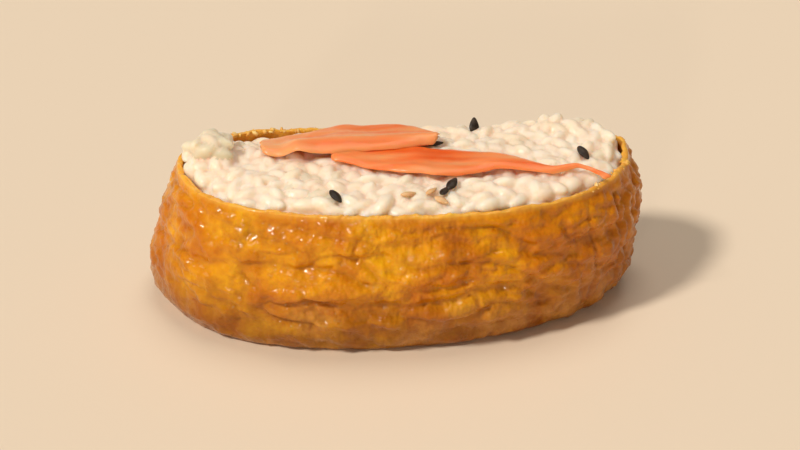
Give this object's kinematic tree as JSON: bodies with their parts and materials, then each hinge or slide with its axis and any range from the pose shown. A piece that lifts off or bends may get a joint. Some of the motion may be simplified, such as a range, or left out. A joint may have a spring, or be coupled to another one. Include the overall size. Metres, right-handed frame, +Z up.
{
  "type": "inari sushi",
  "caption": "Inari sushi: an open pouch of simmered fried tofu, filled with sushi rice and topped with slices of pickled ginger, sesame seeds on the rice.",
  "frame": {"origin": "on the surface it rests on, under the middle of the whole's bounding box", "axes": "+X along the pouch towards its narrower end, -Y towards the curved front wall, +Z up out of the open top"},
  "size_m": [0.0842, 0.0392, 0.0301],
  "materials": {
    "tofu_pouch": "wet, glossy amber-orange skin of simmered fried tofu",
    "rice_filling": "soft satin, creamy white cooked rice",
    "ginger_slice_back": "wet, translucent coral-pink pickled ginger",
    "ginger_slice_front": "wet, translucent coral-pink pickled ginger"
  },
  "bodies": {
    "root": {"tofu_pouch": "tofu_pouch", "rice_filling": "rice_filling", "ginger_slice_back": "ginger_slice_back", "ginger_slice_front": "ginger_slice_front"}
  },
  "joints": []
}
